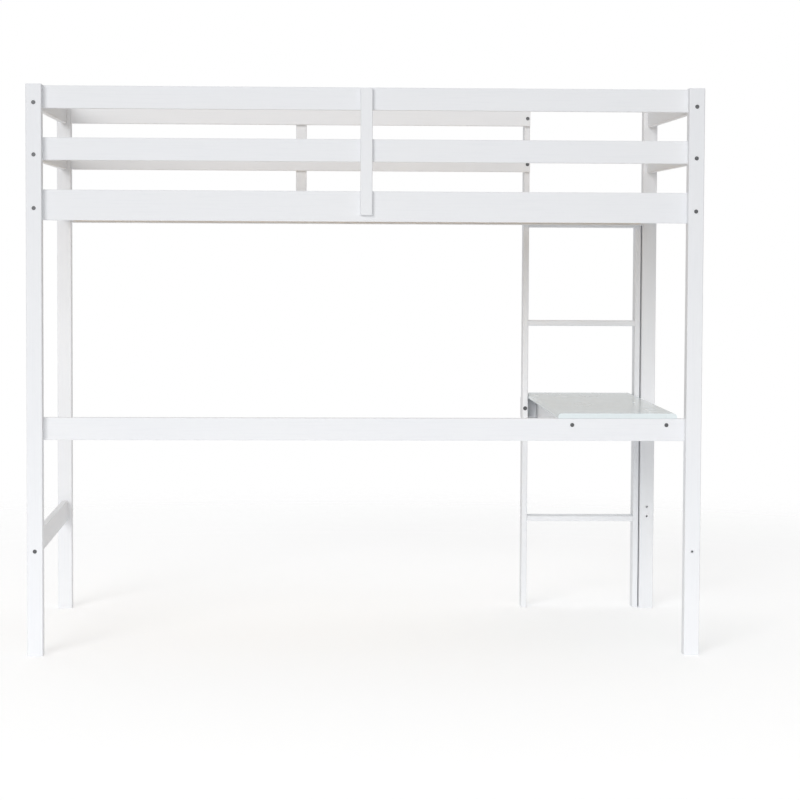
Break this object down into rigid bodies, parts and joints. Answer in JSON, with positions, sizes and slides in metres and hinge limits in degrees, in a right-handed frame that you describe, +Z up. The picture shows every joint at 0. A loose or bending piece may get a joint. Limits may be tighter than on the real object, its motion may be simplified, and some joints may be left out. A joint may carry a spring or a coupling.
{
  "type": "loft bed with desk",
  "caption": "White painted wooden single loft bed with slatted base, guard rails, a flat-tread ladder at one end and a narrow desk board across it.",
  "frame": {"origin": "on the floor at the middle of the whole outline", "axes": "X along the bed, the ladder at the +X end; -Y the wall side with the desk rail, +Y the ladder side; +Z up"},
  "size_m": [1.99, 1.131, 1.68],
  "materials": {
    "white_paint": "satin white paint",
    "desk_surface": "semi-gloss white paint",
    "bare_softwood": "planed, unfinished",
    "bare_beech": "turned, unfinished",
    "dark_bolts": "black oxide, satin",
    "zinc_screws": "zinc plated",
    "brass_inserts": "yellow zinc plated"
  },
  "bodies": {
    "root": {"post_wall_left": "white_paint", "post_wall_right": "white_paint", "post_ladder_left": "white_paint", "post_ladder_right": "white_paint", "end_rail_left_upper": "white_paint", "end_rail_left_lower": "white_paint", "end_rail_left_bed": "white_paint", "end_rail_left_stretcher": "white_paint", "end_rail_right_upper": "white_paint", "end_rail_right_lower": "white_paint", "end_rail_right_bed": "white_paint", "guard_rail_wall_upper": "white_paint", "guard_rail_wall_lower": "white_paint", "desk_rail": "white_paint", "guard_rail_ladder_upper": "white_paint", "guard_rail_ladder_lower": "white_paint", "bed_rail_wall": "white_paint", "bed_rail_ladder": "white_paint", "guard_brace_wall": "white_paint", "guard_brace_ladder": "white_paint", "ladder_stile_inner": "white_paint", "ladder_stile_outer": "white_paint", "ladder_rung_1": "white_paint", "ladder_rung_2": "white_paint", "ladder_rung_3": "white_paint", "ladder_rung_4": "white_paint", "desk_bearer_left": "white_paint", "desk_bearer_right": "white_paint", "desk_cross_rail": "white_paint", "desk_board": "desk_surface", "slat_ledge_wall": "bare_softwood", "slat_ledge_ladder": "bare_softwood", "slat_01": "bare_softwood", "slat_02": "bare_softwood", "slat_03": "bare_softwood", "slat_04": "bare_softwood", "slat_05": "bare_softwood", "slat_06": "bare_softwood", "slat_07": "bare_softwood", "slat_08": "bare_softwood", "slat_09": "bare_softwood", "slat_10": "bare_softwood", "slat_11": "bare_softwood", "slat_12": "bare_softwood", "slat_13": "bare_softwood", "end_rail_bolts": "dark_bolts", "side_rail_bolts": "dark_bolts", "ladder_bolts": "dark_bolts", "desk_bolts": "dark_bolts", "cross_rail_bolts": "dark_bolts", "brace_screws": "zinc_screws", "ledge_screws": "zinc_screws", "rung_screws": "zinc_screws", "slat_screws": "zinc_screws", "threaded_inserts": "brass_inserts", "joint_dowels": "bare_beech"}
  },
  "joints": []
}
